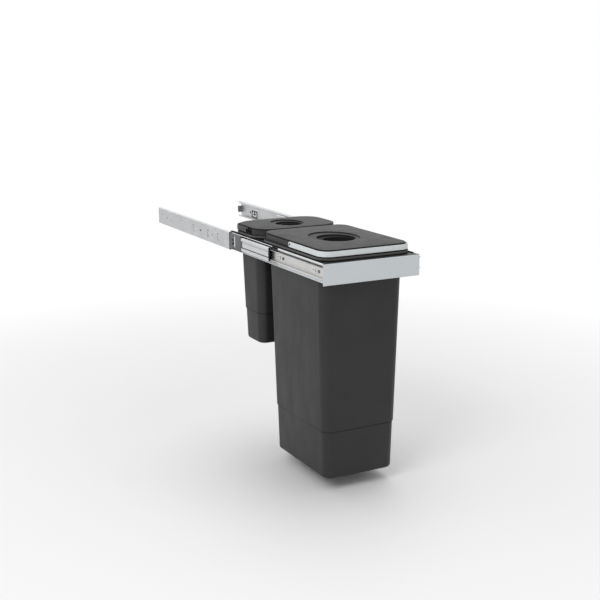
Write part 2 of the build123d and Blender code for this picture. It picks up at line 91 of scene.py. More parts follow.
def soften(piece, width, segments=2, angle=30.0):
    """Round every edge sharper than an angle, and keep flat faces flat."""
    bevel = piece.modifiers.new("soft_edges", "BEVEL")
    bevel.width = width * MM
    bevel.segments = segments
    bevel.limit_method = "ANGLE"
    bevel.angle_limit = math.radians(angle)
    bevel.harden_normals = True
    bevel.use_clamp_overlap = True


# %% [markdown]
# ## Materials
# Every finish is made of noise on object coordinates, so it stays on the piece from any
# side and needs no picture file. Each one has a colour that wanders a little, a roughness
# that does too, and a fine bump. Noise seldom leaves the middle of its range, so that
# middle is what gets spread. Constants sit on the shader's own sockets.

# %% Material helpers
NOISE_LOW, NOISE_HIGH = 0.3, 0.7


def shader_of(material):
    """The shader that gives a material its look."""
    return material.node_tree.nodes["Principled BSDF"]


def start_material(name):
    """A material with one shader, and its node tree ready to extend."""
    material = bpy.data.materials.new(name)
    material.use_nodes = True
    return material, material.node_tree, shader_of(material)


def noise(tree, scale, detail=3.0, roughness=0.55, stretch=(1.0, 1.0, 1.0)):
    """Noise on object coordinates, optionally drawn out along an axis."""
    place = tree.nodes.new("ShaderNodeTexCoord")
    mapping = tree.nodes.new("ShaderNodeMapping")
    mapping.inputs["Scale"].default_value = stretch
    texture = tree.nodes.new("ShaderNodeTexNoise")
    texture.inputs["Scale"].default_value = scale
    texture.inputs["Detail"].default_value = detail
    texture.inputs["Roughness"].default_value = roughness
    tree.links.new(place.outputs["Object"], mapping.inputs["Vector"])
    tree.links.new(mapping.outputs["Vector"], texture.inputs["Vector"])
    return texture.outputs["Fac"]


def spread(tree, value, low, high, low_value, high_value):
    """Map a value between two limits onto another range."""
    node = tree.nodes.new("ShaderNodeMapRange")
    node.inputs["From Min"].default_value = low
    node.inputs["From Max"].default_value = high
    node.inputs["To Min"].default_value = low_value
    node.inputs["To Max"].default_value = high_value
    tree.links.new(value, node.inputs["Value"])
    return node.outputs["Result"]


def combine(tree, operation, first, second):
    """Multiply or compare two values of a node tree."""
    node = tree.nodes.new("ShaderNodeMath")
    node.operation = operation
    tree.links.new(first, node.inputs[0])
    tree.links.new(second, node.inputs[1])
    return node.outputs["Value"]


def add_colour(tree, shader, value, dark, light):
    """Give a shader a colour that runs from dark to light with a noise value."""
    ramp = tree.nodes.new("ShaderNodeValToRGB")
    ramp.color_ramp.elements[0].position = NOISE_LOW
    ramp.color_ramp.elements[1].position = NOISE_HIGH
    ramp.color_ramp.elements[0].color = (*dark, 1.0)
    ramp.color_ramp.elements[1].color = (*light, 1.0)
    tree.links.new(value, ramp.inputs["Fac"])
    tree.links.new(ramp.outputs["Color"], shader.inputs["Base Color"])


def add_roughness(tree, shader, value, middle, wander):
    """Give a shader a roughness that wanders below and above a middle value."""
    below, above = wander
    rough = spread(tree, value, NOISE_LOW, NOISE_HIGH, middle - below, middle + above)
    tree.links.new(rough, shader.inputs["Roughness"])


def add_bump(tree, shader, height, strength, distance):
    """Bump a shader by a height value."""
    bump = tree.nodes.new("ShaderNodeBump")
    bump.inputs["Strength"].default_value = strength
    bump.inputs["Distance"].default_value = distance * MM
    tree.links.new(height, bump.inputs["Height"])
    tree.links.new(bump.outputs["Normal"], shader.inputs["Normal"])


# %% [markdown]
# The bins and lids are injection moulded in dark grey polypropylene with a fine
# spark-eroded grain. Polypropylene has a soft, broad highlight, so its roughness is
# middling and the grain is shallow and small. The same recipe gives the rims' skirts a
# lighter copy of the bin plastic, which is painted light. It also gives the small strap, the
# black trims and the rubber blocks, with other colours and another grain.

# %% Plastic
PLASTIC_IOR = 1.49
CLOUD_SCALE, SMEAR_SCALE, GRAIN_SCALE, GRAIN_DEPTH = 9.0, 35.0, 1400.0, 0.12
SMEARED_UPWARDS, PLASTIC_WANDER = (1.0, 1.0, 0.35), (0.05, 0.06)


def moulded_plastic(name, dark, light, roughness, grain):
    """Plastic with a clouded colour, faint upright smears and a fine grain."""
    material, tree, shader = start_material(name)
    add_colour(tree, shader, noise(tree, CLOUD_SCALE, detail=4.0), dark, light)
    smears = noise(tree, SMEAR_SCALE, detail=5.0, stretch=SMEARED_UPWARDS)
    add_roughness(tree, shader, smears, roughness, PLASTIC_WANDER)
    shader.inputs["IOR"].default_value = PLASTIC_IOR
    add_bump(tree, shader, noise(tree, GRAIN_SCALE, detail=2.0), grain, GRAIN_DEPTH)
    return material


bin_plastic = moulded_plastic(
    "bin_plastic", (0.0176, 0.0176, 0.0181), (0.0227, 0.0227, 0.0231), roughness=0.46, grain=0.30
)
lid_plastic = moulded_plastic(
    "lid_plastic", (0.0173, 0.0173, 0.0176), (0.0223, 0.0223, 0.0227), roughness=0.52, grain=0.22
)
strap_plastic = moulded_plastic(
    "strap_plastic", (0.036, 0.036, 0.0376), (0.0448, 0.0448, 0.0464), roughness=0.45, grain=0.2
)
# Painted light: the rims' skirts get a lighter copy of the bin plastic, for the light they catch.
lit_rim_plastic = moulded_plastic(
    "lit_rim_plastic", (0.072, 0.070, 0.068), (0.082, 0.079, 0.077), roughness=0.50, grain=0.2
)
black_plastic = moulded_plastic(
    "black_plastic", (0.006, 0.006, 0.006), (0.009, 0.009, 0.009), roughness=0.75, grain=0.2
)
bumper_rubber = moulded_plastic(
    "bumper_rubber", (0.13, 0.13, 0.13), (0.17, 0.17, 0.17), roughness=0.7, grain=0.5
)
print("plastics", len(bpy.data.materials))

# %% [markdown]
# A finger recess in a lid sees little light, and the black trims hardly shine at all. The
# shader's sheen is set for that: on the lids it fades with depth, and on the bins and the
# trims it has one value. Depth on a piece is Object Z.

# %% Sheen of the plastics
SHEEN = "Specular IOR Level"


def object_height(tree):
    """The height of a point on its piece."""
    place = tree.nodes.new("ShaderNodeTexCoord")
    split = tree.nodes.new("ShaderNodeSeparateXYZ")
    tree.links.new(place.outputs["Object"], split.inputs["Vector"])
    return split.outputs["Z"]


def fade_downwards(material, low, high, deep_sheen, sheen):
    """Let the sheen fade with depth between two heights."""
    tree = material.node_tree
    fade = spread(tree, object_height(tree), low * MM, high * MM, deep_sheen, sheen)
    tree.links.new(fade, shader_of(material).inputs[SHEEN])


fade_downwards(lid_plastic, low=37.5, high=42.8, deep_sheen=0.03, sheen=0.34)
for material, sheen in ((bin_plastic, 0.38), (black_plastic, 0.12)):
    shader_of(material).inputs[SHEEN].default_value = sheen
    print(material.name, "sheen", sheen)

# %% [markdown]
# The slides are roll-formed from zinc-plated strip. The strip is drawn through rollers
# along its length, which leaves long faint lines, so the noise is drawn out along Y. The
# plating is a cloudy, neutral grey. The frame and the front handle have a silver-grey
# powder coat.

# %% Metals
PLATING_SCALE, LINE_SCALE, LINE_BUMP, LINE_DEPTH = 30.0, 900.0, 0.25, 0.05
DRAWN_LENGTHWISE, STEEL_WANDER = (1.0, 0.012, 1.0), (0.07, 0.09)
FLAKE_SCALE, SHEET_SCALE, PEEL_SCALE, PEEL_BUMP, PEEL_DEPTH = 2600.0, 60.0, 320.0, 0.12, 0.2
COAT_METALLIC, COAT_ROUGHNESS, COAT_WANDER = 0.35, 0.42, (0.05, 0.05)


def rolled_steel(name, dark, light, roughness):
    """Plated strip: a clouded colour with faint lines along its length."""
    material, tree, shader = start_material(name)
    add_colour(tree, shader, noise(tree, PLATING_SCALE, detail=5.0), dark, light)
    lines = noise(tree, LINE_SCALE, detail=2.0, stretch=DRAWN_LENGTHWISE)
    add_roughness(tree, shader, lines, roughness, STEEL_WANDER)
    shader.inputs["Metallic"].default_value = 1.0
    add_bump(tree, shader, lines, LINE_BUMP, LINE_DEPTH)
    return material


def powder_coat(name, dark, light, roughness=COAT_ROUGHNESS):
    """Silver-grey powder coat: metallic flakes under a clear binder, with orange peel."""
    material, tree, shader = start_material(name)
    add_colour(tree, shader, noise(tree, FLAKE_SCALE, detail=2.0), dark, light)
    shader.inputs["Metallic"].default_value = COAT_METALLIC
    add_roughness(tree, shader, noise(tree, SHEET_SCALE), roughness, COAT_WANDER)
    add_bump(tree, shader, noise(tree, PEEL_SCALE, detail=2.0), PEEL_BUMP, PEEL_DEPTH)
    return material


FRAME_TONES = ((0.595, 0.63, 0.655), (0.655, 0.69, 0.715))
# Painted light: the side plates and the top rail get a lighter copy of the frame coat, which
# brightens their shaded faces.
LIT_PLATE_TONES = ((0.70, 0.72, 0.74), (0.76, 0.78, 0.80))
zinc_steel = rolled_steel("zinc_steel", (0.63, 0.64, 0.65), (0.71, 0.72, 0.73), 0.42)
dull_steel = rolled_steel("dull_steel", (0.16, 0.163, 0.168), (0.21, 0.213, 0.218), 0.55)
screw_steel = rolled_steel("screw_steel", (0.16, 0.16, 0.16), (0.22, 0.22, 0.22), 0.42)
ball_steel = rolled_steel("ball_steel", (0.70, 0.70, 0.72), (0.78, 0.78, 0.80), 0.12)
frame_coat = powder_coat("frame_coat", *FRAME_TONES)
handle_silver = powder_coat("handle_silver", (0.68, 0.72, 0.73), (0.75, 0.79, 0.80), 0.38)
print("plastics and metals", len(bpy.data.materials))

# %% [markdown]
# Some pieces carry painted shade that runs along their whole length. The middle member
# has a raised band on its back, and the shade along the band's edges is painted as a dark
# line below and a faint one above. The shade that falls in the gaps between the members is
# painted dark on the inner member's upper race, as a line at its lower race, and on the side
# plate behind it. The frame's top faces are painted black with the shade under and between
# the bins' rims. All of these marks are a matter of height, so they are read from Object Z
# and darken the metal's own colour.

# %% Painted shade along the slides
ABOVE_FRAME = 30.0
BLACK, DEEP_BLACK = (0.03, 0.03, 0.032), (0.02, 0.02, 0.022)


def height_band(tree, low, high, blur):
    """One between two heights and nothing outside them."""
    height = object_height(tree)
    rise = spread(tree, height, (low - blur) * MM, (low + blur) * MM, 0.0, 1.0)
    fall = spread(tree, height, (high - blur) * MM, (high + blur) * MM, 1.0, 0.0)
    return combine(tree, "MULTIPLY", rise, fall)


def darken_band(material, low, high, blur, amount, colour):
    """Mix a material's colour with a darker one between two heights."""
    tree = material.node_tree
    base = shader_of(material).inputs["Base Color"]
    mask = spread(tree, height_band(tree, low, high, blur), 0.0, 1.0, 0.0, amount)
    mix = tree.nodes.new("ShaderNodeMix")
    mix.data_type = "RGBA"
    mix.inputs["B"].default_value = (*colour, 1.0)
    tree.links.new(mask, mix.inputs["Factor"])
    tree.links.new(base.links[0].from_socket, mix.inputs["A"])
    tree.links.new(mix.outputs["Result"], base)
    print(material.name, "band from", low, "to", high, "mm")


ribbed_steel = rolled_steel("ribbed_steel", (0.72, 0.73, 0.74), (0.79, 0.80, 0.81), 0.40)
# Painted shade: a dark line and a faint line along the edges of the middle member's band.
darken_band(ribbed_steel, -8.0, -5.2, blur=0.2, amount=0.95, colour=(0.05, 0.05, 0.055))
darken_band(ribbed_steel, 5.6, 9.2, blur=0.4, amount=0.35, colour=(0.25, 0.26, 0.27))
# Painted shade on the inner member's upper race, and a painted shade line at its lower race.
race_shaded_steel = rolled_steel("race_shaded_steel", (0.70, 0.697, 0.685), (0.78, 0.775, 0.765), 0.42)
darken_band(race_shaded_steel, 12.7, 20.0, blur=0.1, amount=0.9, colour=BLACK)
darken_band(race_shaded_steel, -11.3, -10.5, blur=0.2, amount=0.5, colour=(0.2, 0.2, 0.2))
plate_coat = powder_coat("plate_coat", *LIT_PLATE_TONES)
# Painted shade on the side plate behind the upper race.
darken_band(plate_coat, 9.5, 15.7, blur=0.1, amount=0.9, colour=(0.06, 0.06, 0.065))
# Painted shade: the top faces of the crossbar, the top rail and the front panel are black, for
# the shade under and between the bins' rims.
crossbar_coat = powder_coat("crossbar_coat", *FRAME_TONES)
darken_band(crossbar_coat, 18.4, ABOVE_FRAME, blur=0.05, amount=1.0, colour=BLACK)
strip_coat = powder_coat("strip_coat", *LIT_PLATE_TONES)
darken_band(strip_coat, 19.95, ABOVE_FRAME, blur=0.05, amount=1.0, colour=DEEP_BLACK)
panel_coat = powder_coat("panel_coat", *FRAME_TONES)
darken_band(panel_coat, 19.2, ABOVE_FRAME, blur=0.05, amount=1.0, colour=DEEP_BLACK)

# %% [markdown]
# The pieces that keep their solids now get their finishes. A left and a right piece look
# alike, so one table of plain names serves both.

# %% Materials of the pieces that keep their solids
FINISHES = {
    "outer_rail": zinc_steel,
    "middle_rail": ribbed_steel,
    "inner_rail": race_shaded_steel,
    "outer_cage": dull_steel,
    "inner_cage": black_plastic,
    "outer_balls": ball_steel,
    "inner_balls": ball_steel,
    "rail_bumper": bumper_rubber,
    "slide_screws": screw_steel,
    "side_plate": plate_coat,
    "top_rail": strip_coat,
    "front_panel": panel_coat,
    "middle_crossbar": crossbar_coat,
    "rear_crossbar": frame_coat,
    "large_handle_pivots": black_plastic,
    "small_handle_pivots": black_plastic,
    "large_bin": bin_plastic,
    "small_bin": bin_plastic,
    "large_lid": lid_plastic,
    "small_lid": lid_plastic,
    "large_handle": handle_silver,
    "small_handle": strap_plastic,
}
for name, node in nodes.items():
    plain_name = name.removeprefix("left_").removeprefix("right_")
    node.data.materials.clear()
    node.data.materials.append(FINISHES[plain_name])
print("materials", len(bpy.data.materials))

# %% [markdown]
# ## Rings
# Bins, lids and straps are all stacks of rings: rounded rectangles that change size from
# level to level. A ring starts as one flat face, its corners are cut by a vertex bevel, and
# the face is taken away so that only its outline stays. Two outlines that follow each
# other are joined with bridge_loops. A closed chain of rings is a wall with a real
# thickness, the way a moulding has one. Rings in one plane can be joined the wrong way
# round, so the chain is first drawn apart upwards like a paper lantern, then let down.

# %% Ring helpers
CORNER_STEPS = 12
RING_POINTS = 4 * (CORNER_STEPS + 1)
RING_SPACING = 20 * MM


def round_off(bm, geom, width, steps, affect):
    """Round off edges or corner points in a few steps."""
    bmesh.ops.bevel(
        bm, geom=geom, offset=width * MM, offset_type="OFFSET", segments=steps,
        profile=0.5, affect=affect, material=-1, clamp_overlap=False,
    )


def edges_of(verts):
    """All edges that meet a set of points."""
    return list({edge for vert in verts for edge in vert.link_edges})


def rounded_ring(bm, height, half, span, corners):
    """The outline of a rounded rectangle, as a closed loop of edges."""
    front, back = span
    places = ((-half, front), (half, front), (half, back), (-half, back))
    points = [bm.verts.new((x * MM, y * MM, height * MM)) for x, y in places]
    bm.faces.new(points)
    kept = set(bm.verts) - set(points)
    for pair, radius in zip((points[:2], points[2:]), corners):
        round_off(bm, pair, radius, CORNER_STEPS, "VERTICES")
    outline = [vert for vert in bm.verts if vert not in kept]
    faces = list({face for vert in outline for face in vert.link_faces})
    bmesh.ops.delete(bm, geom=faces, context="FACES_ONLY")
    return edges_of(outline)


def join_rings(bm, rings, closed=False):
    """Join each ring to the next, and the last to the first where the chain is closed."""
    lifted = []
    for count, ring in enumerate(rings):
        verts = list({vert for edge in ring for vert in edge.verts})
        lift = count * RING_SPACING - verts[0].co.z
        bmesh.ops.translate(bm, verts=verts, vec=(0, 0, lift))
        lifted.append((verts, lift))
    pairs = list(zip(rings, rings[1:]))
    if closed:
        pairs.append((rings[-1], rings[0]))
    for lower, upper in pairs:
        bmesh.ops.bridge_loops(bm, edges=lower + upper)
    for verts, lift in lifted:
        bmesh.ops.translate(bm, verts=verts, vec=(0, 0, -lift))


def close_ring(bm, ring):
    """Close a ring with one flat face."""
    bmesh.ops.edgeloop_fill(bm, edges=ring)


def mark_faces(lower, upper, finish_number):
    """Give the faces between two rings of a chain another of the piece's finishes."""
    ends = {vert for ring in (lower, upper) for edge in ring for vert in edge.verts}
    for edge in lower:
        for face in edge.link_faces:
            if ends.issuperset(face.verts):
                face.material_index = finish_number


# %% [markdown]
# ## Bins
# A bin is a tapered pail with a step near its foot: below a thin groove its skin lies 2 mm
# further in. Its rim hooks over the frame: a web runs out from the body, a skirt hangs from
# the web's edge, and an inner wall under the web stands on the rails. Above the web a
# collar takes the lid. Body, rim and collar each have their own kind of ring, which takes
# a height and how far the ring is moved in.

# %% Bin measures
WALL, FOOT_INSET, SKIRT_LIFT, COLLAR_WALL = 2.2, 5.0, 2.5, 2.5
FRAME_TOP, RIM_TOP, COLLAR_TOP = 20.1, 27.1, 40.7
RIM_HALF, COLLAR_HALF = 117.0, 110.7
STEP_INSET, BASE_ROUND, BODY_CORNER = 2.0, 6.5, 23.0
STEP_GROOVE, STEP_SINK = 1.8, 1.4
LARGE = {
    "half": 107.0, "front": -433.5, "back": -163.0, "depth": 515.1, "step": 115.0,
    "side_taper": 14.7, "front_taper": 8.5, "back_taper": 4.0,
    "rim": (-454.5, -145.95), "rim_corners": (34.5, 28.0),
    "collar": (-448.0, -145.95), "collar_corners": (28.0, 28.0),
}
SMALL = {
    "half": 103.5, "front": -111.95, "back": 7.5, "depth": 267.6, "step": 78.0,
    "side_taper": 3.5, "front_taper": 6.0, "back_taper": 17.0,
    "rim": (-133.95, 25.0), "rim_corners": (48.0, 54.5),
    "collar": (-133.95, 18.5), "collar_corners": (48.0, 48.0),
}


def inset_ring(bm, height, half, span, corners, inset):
    """A rounded ring that is moved in by inset all round."""
    span = (span[0] + inset, span[1] - inset)
    corners = [corner - inset for corner in corners]
    return rounded_ring(bm, height, half - inset, span, corners)


def body_ring(bm, height, bin_shape, inset):
    """A ring of the tapered body."""
    drop = (FRAME_TOP - height) / bin_shape["depth"]
    half = bin_shape["half"] - bin_shape["side_taper"] * drop
    front = bin_shape["front"] + bin_shape["front_taper"] * drop
    back = bin_shape["back"] - bin_shape["back_taper"] * drop
    return inset_ring(bm, height, half, (front, back), (BODY_CORNER, BODY_CORNER), inset)


def rim_ring(bm, height, bin_shape, inset):
    """A ring of the rim."""
    return inset_ring(bm, height, RIM_HALF, bin_shape["rim"], bin_shape["rim_corners"], inset)


def collar_ring(bm, height, bin_shape, inset):
    """A ring of the collar, whose outline the lid shares."""
    span, corners = bin_shape["collar"], bin_shape["collar_corners"]
    return inset_ring(bm, height, COLLAR_HALF, span, corners, inset)


print("large bin", LARGE["depth"], "mm deep, small bin", SMALL["depth"], "mm deep")

# %% [markdown]
# The chain of rings walks round a bin's section once: up the outside, over the rim and the
# collar, and down the inside. The skirt catches the light, so it has a lighter finish, and
# the rim's top lies in the collar's shade, so it is black.

# %% Bin builder
BIN_FINISHES = (bin_plastic, lit_rim_plastic, black_plastic)
BASE_STEPS, INNER_STEPS, BIN_EDGE = 6, 4, 0.6


def build_bin(name, bin_shape):
    """One bin, as a closed chain of rings with a floor outside and inside."""
    base = FRAME_TOP - bin_shape["depth"]
    step = base + bin_shape["step"]
    web = RIM_TOP - WALL
    skirt_foot = FRAME_TOP + SKIRT_LIFT
    chain = (
        (body_ring, base, STEP_INSET),
        (body_ring, step - STEP_GROOVE, STEP_INSET),
        (body_ring, step - STEP_GROOVE, STEP_INSET + STEP_SINK),
        (body_ring, step, STEP_INSET + STEP_SINK),
        (body_ring, step, 0),
        (body_ring, web, 0),
        (rim_ring, web, FOOT_INSET + WALL),
        (rim_ring, FRAME_TOP, FOOT_INSET + WALL),
        (rim_ring, FRAME_TOP, FOOT_INSET),
        (rim_ring, web, FOOT_INSET),
        (rim_ring, web, WALL),
        (rim_ring, skirt_foot, WALL),
        (rim_ring, skirt_foot, 0),
        (rim_ring, RIM_TOP, 0),
        (collar_ring, RIM_TOP, 0),
        (collar_ring, COLLAR_TOP, 0),
        (collar_ring, COLLAR_TOP, COLLAR_WALL),
        (collar_ring, RIM_TOP, COLLAR_WALL),
        (body_ring, RIM_TOP, WALL),
        (body_ring, step + WALL, WALL),
        (body_ring, step + WALL, STEP_INSET + WALL),
        (body_ring, base + WALL, STEP_INSET + WALL),
    )
    bm = bmesh.new()
    rings = [make_ring(bm, height, bin_shape, inset) for make_ring, height, inset in chain]
    join_rings(bm, rings)
    close_ring(bm, rings[0])
    close_ring(bm, rings[-1])
    skirt = chain.index((rim_ring, skirt_foot, 0))
    # Painted light on the skirt, and painted shade in black on the rim's top.
    mark_faces(rings[skirt], rings[skirt + 1], BIN_FINISHES.index(lit_rim_plastic))
    mark_faces(rings[skirt + 1], rings[skirt + 2], BIN_FINISHES.index(black_plastic))
    round_off(bm, rings[0], BASE_ROUND, BASE_STEPS, "EDGES")
    round_off(bm, rings[-1], BASE_ROUND - WALL, INNER_STEPS, "EDGES")
    piece = new_piece(name + "_shell", bm, name, BIN_FINISHES, (name,))
    soften(piece, BIN_EDGE, 2, MOULDED_ANGLE)


build_bin("large_bin", LARGE)
build_bin("small_bin", SMALL)

# %% [markdown]
# ## Lids
# A lid is a thin plate with a rounded edge. The plate's foot is set back, so that a dark
# joint runs between lid and collar. Its plug drops into the collar, and its finger recess
# goes down in three steps, each set a little further to the side than the one above. The
# upper two are drawn out lengthwise into ovals, like the lid itself.

# %% Lid measures
LID_BOTTOM, LID_TOP, LID_ROUND, LID_SKIN = 41.0, 44.9, 1.5, 2.2
GROOVE_INSET, GROOVE_HEIGHT = 2.0, 1.8
PLUG_DEPTH, PLUG_INSET, PLUG_WALL = 8.0, 3.0, 1.8
RECESS_DEPTHS = (3.0, 7.5, 17.0)
RECESS_SHIFTS = ((0.0, 0.0), (0.05, -0.065), (0.13, -0.12))
RECESS_STRETCH = ((0.91, 1.16), (0.95, 1.08), (1.0, 1.0))
LARGE_RADII = (62.0, 46.5, 37.0)
SMALL_RADII = (43.0, 33.0, 27.0)
LID_ROUND_STEPS, LID_EDGE = 5, 0.5


def recess_ring(bm, height, radius, centre, stretch):
    """A circle with as many points as a rounded ring, drawn out about its centre."""
    x, y = centre[0] * MM, centre[1] * MM
    turn = Matrix.Rotation(math.pi / RING_POINTS, 4, "Z")
    verts = bmesh.ops.create_circle(
        bm, cap_ends=False, segments=RING_POINTS, radius=radius * MM,
        matrix=Matrix.Translation((x, y, height * MM)) @ turn,
    )["verts"]
    home = Matrix.Translation((-x, -y, 0))
    bmesh.ops.scale(bm, verts=verts, vec=(*stretch, 1.0), space=home)
    return edges_of(verts)


print("lid", round(LID_TOP - LID_BOTTOM, 2), "mm thick at its edge")

# %% [markdown]
# One chain makes the whole lid. The underside is built from its edge inwards, like the top,
# and then read backwards, so that the chain runs from the middle of the underside out to
# the edge and back over the top into the recess.

# %% Lid builder


def build_lid(name, bin_shape, radii):
    """One lid, with the recess's steps on top and the same steps below its skin."""
    middle = sum(bin_shape["collar"]) / 2
    groove_top = LID_BOTTOM + GROOVE_HEIGHT
    plug_bottom, plug_inner = LID_BOTTOM - PLUG_DEPTH, PLUG_INSET + PLUG_WALL
    bm = bmesh.new()
    top = [
        collar_ring(bm, LID_BOTTOM, bin_shape, GROOVE_INSET),
        collar_ring(bm, groove_top, bin_shape, GROOVE_INSET),
        collar_ring(bm, groove_top, bin_shape, 0),
        collar_ring(bm, LID_TOP, bin_shape, 0),
    ]
    plate_edge = top[-1]
    under = [
        collar_ring(bm, LID_BOTTOM, bin_shape, PLUG_INSET),
        collar_ring(bm, plug_bottom, bin_shape, PLUG_INSET),
        collar_ring(bm, plug_bottom, bin_shape, plug_inner),
        collar_ring(bm, LID_TOP - LID_SKIN, bin_shape, plug_inner),
    ]
    above = 0.0
    for shift, stretch, radius, depth in zip(RECESS_SHIFTS, RECESS_STRETCH, radii, RECESS_DEPTHS):
        centre = (radii[0] * shift[0], middle + radii[0] * shift[1])
        for level in (above, depth):
            height = LID_TOP - level
            top.append(recess_ring(bm, height, radius, centre, stretch))
            under.append(recess_ring(bm, height - LID_SKIN, radius + LID_SKIN, centre, stretch))
        above = depth
    join_rings(bm, under[::-1] + top)
    close_ring(bm, top[-1])
    close_ring(bm, under[-1])
    round_off(bm, plate_edge, LID_ROUND, LID_ROUND_STEPS, "EDGES")
    piece = new_piece(name + "_shell", bm, name, (lid_plastic,), (name,))
    soften(piece, LID_EDGE, 2, MOULDED_ANGLE)


build_lid("large_lid", LARGE, LARGE_RADII)
build_lid("small_lid", SMALL, SMALL_RADII)

# %% [markdown]
# ## Strap handles
# Each handle is one flat strap bent round an end of the collar. Four bent lines, two inside
# and two outside, are joined into a bar, its ends are closed, and the ends' corners are
# rounded until they nearly meet in a half circle behind the pin.

# %% Strap builder
STRAP_HEIGHT, STRAP_THICKNESS, STRAP_LOW, STRAP_HALF = 11.8, 2.5, 29.8, 112.7
TIP_GAP, TIP_STEPS, STRAP_EDGE = 0.01, 8, 0.5
TOUCHING = 1e-6


def bent_line(bm, height, half, far, end, bend):
    """A line along one arm, round the bow and back along the other arm."""
    places = ((-half, end), (-half, far), (half, far), (half, end))
    points = [bm.verts.new((x * MM, y * MM, height * MM)) for x, y in places]
    kept = set(bm.verts) - set(points)
    for start, stop in zip(points, points[1:]):
        bm.edges.new((start, stop))
    round_off(bm, points[1:3], bend, CORNER_STEPS, "VERTICES")
    return edges_of([vert for vert in bm.verts if vert not in kept])


def is_level_tip(edge, end):
    """Whether an edge lies level across the end of an arm."""
    first, second = (vert.co for vert in edge.verts)
    at_end = all(abs(place.y - end * MM) < TOUCHING for place in (first, second))
    return at_end and abs(first.z - second.z) < TOUCHING


def build_strap(name, finish, far, towards, bend, end):
    """One strap: far is where its bow lies, and end is where its arms end."""
    high = STRAP_LOW + STRAP_HEIGHT
    outer_half, outer_far = STRAP_HALF + STRAP_THICKNESS, far + towards * STRAP_THICKNESS
    outer_bend = bend + STRAP_THICKNESS
    bm = bmesh.new()
    lines = [
        bent_line(bm, STRAP_LOW, STRAP_HALF, far, end, bend),
        bent_line(bm, STRAP_LOW, outer_half, outer_far, end, outer_bend),
        bent_line(bm, high, outer_half, outer_far, end, outer_bend),
        bent_line(bm, high, STRAP_HALF, far, end, bend),
    ]
    join_rings(bm, lines, closed=True)
    bmesh.ops.holes_fill(bm, edges=[edge for edge in bm.edges if edge.is_boundary], sides=4)
    tips = [edge for edge in bm.edges if is_level_tip(edge, end)]
    print(name, "tip edges", len(tips))
    round_off(bm, tips, STRAP_HEIGHT / 2 - TIP_GAP, TIP_STEPS, "EDGES")
    piece = new_piece(name + "_strap", bm, name, (finish,), (name,))
    soften(piece, STRAP_EDGE, 3, MOULDED_ANGLE)


build_strap(
    "large_handle", handle_silver, far=-450.0, towards=-1, bend=26.0, end=-289.975
)
build_strap(
    "small_handle", strap_plastic, far=20.5, towards=1, bend=40.0, end=-70.725
)

# %% [markdown]
# ## Rim shade strip and pads
# A thin black strip lies on the frame under the bins' skirts. It is painted shade: a dark
# thing placed where the shadow gap under the rims lies, and it shows as a dark line under
# the rims. The small bin has a black pad on each side of its collar, where its handle comes
# to rest. These and the other thin trims are flat bars, so each starts as one flat face that
# is extruded and softened. A bar is given by its two distances from the middle of the unit,
# its span along Y and its two heights.

# %% Rim shade strip and pads
RIM_SHADE_SIDES, RIM_SHADE_SPAN, RIM_SHADE_HEIGHT = (113.2, 118.4), (-452.0, 24.0), 1.8
PAD_SIDES, PAD_SPAN, PAD_HEIGHTS = (110.4, 113.4), (-84.0, -75.2), (29.5, 40.2)
RIM_SHADE_EDGE, PAD_EDGE = 0.3, 1.2
BOTH_SIDES = tuple(SIDES.values())


def extrude_face(bm, face, vec):
    """Draw one flat face out into a solid."""
    lifted = bmesh.ops.extrude_face_region(bm, geom=[face], use_keep_orig=True)["geom"]
    verts = [item for item in lifted if isinstance(item, bmesh.types.BMVert)]
    bmesh.ops.translate(bm, verts=verts, vec=vec)


def flat_bar(bm, sign, sides, span, heights):
    """One bar on the left or the right side."""
    left, right = sorted((sign * sides[0], sign * sides[1]))
    front, back = span
    low, high = heights
    places = ((left, front), (right, front), (right, back), (left, back))
    face = bm.faces.new([bm.verts.new((x * MM, y * MM, low * MM)) for x, y in places])
    extrude_face(bm, face, (0, 0, (high - low) * MM))


def bar_piece(name, body, finish, signs, bars, stands_for=()):
    """A piece that is made of flat bars on one or both sides."""
    bm = bmesh.new()
    for sign in signs:
        for sides, span, heights in bars:
            flat_bar(bm, sign, sides, span, heights)
    return new_piece(name, bm, body, (finish,), stands_for)


# Painted shade: a black strip on the frame where the shadow gap under the skirts lies.
rim_shade_bar = (RIM_SHADE_SIDES, RIM_SHADE_SPAN, (FRAME_TOP, FRAME_TOP + RIM_SHADE_HEIGHT))
rim_shade = bar_piece(
    "rim_shade_strip", "frame", black_plastic, BOTH_SIDES, (rim_shade_bar,)
)
soften(rim_shade, RIM_SHADE_EDGE)
pad_bar = (PAD_SIDES, PAD_SPAN, PAD_HEIGHTS)
pads = bar_piece(
    "handle_pads", "small_bin", black_plastic, BOTH_SIDES, (pad_bar,)
)
soften(pads, PAD_EDGE, 3)

# %% [markdown]
# ## Inner cages and lip shade strips
# The plastic strip that keeps the inner balls apart looks out of the middle member's front
# end. Its web ends close to that member, and its two flanges reach on. A black strip on the
# top rail's lip faces the middle member. It is painted shade, a dark thing where the gap
# between lip and middle member lies in shade. It is full height beside the cage and
# narrower behind it, so that the lip's top edge shows.

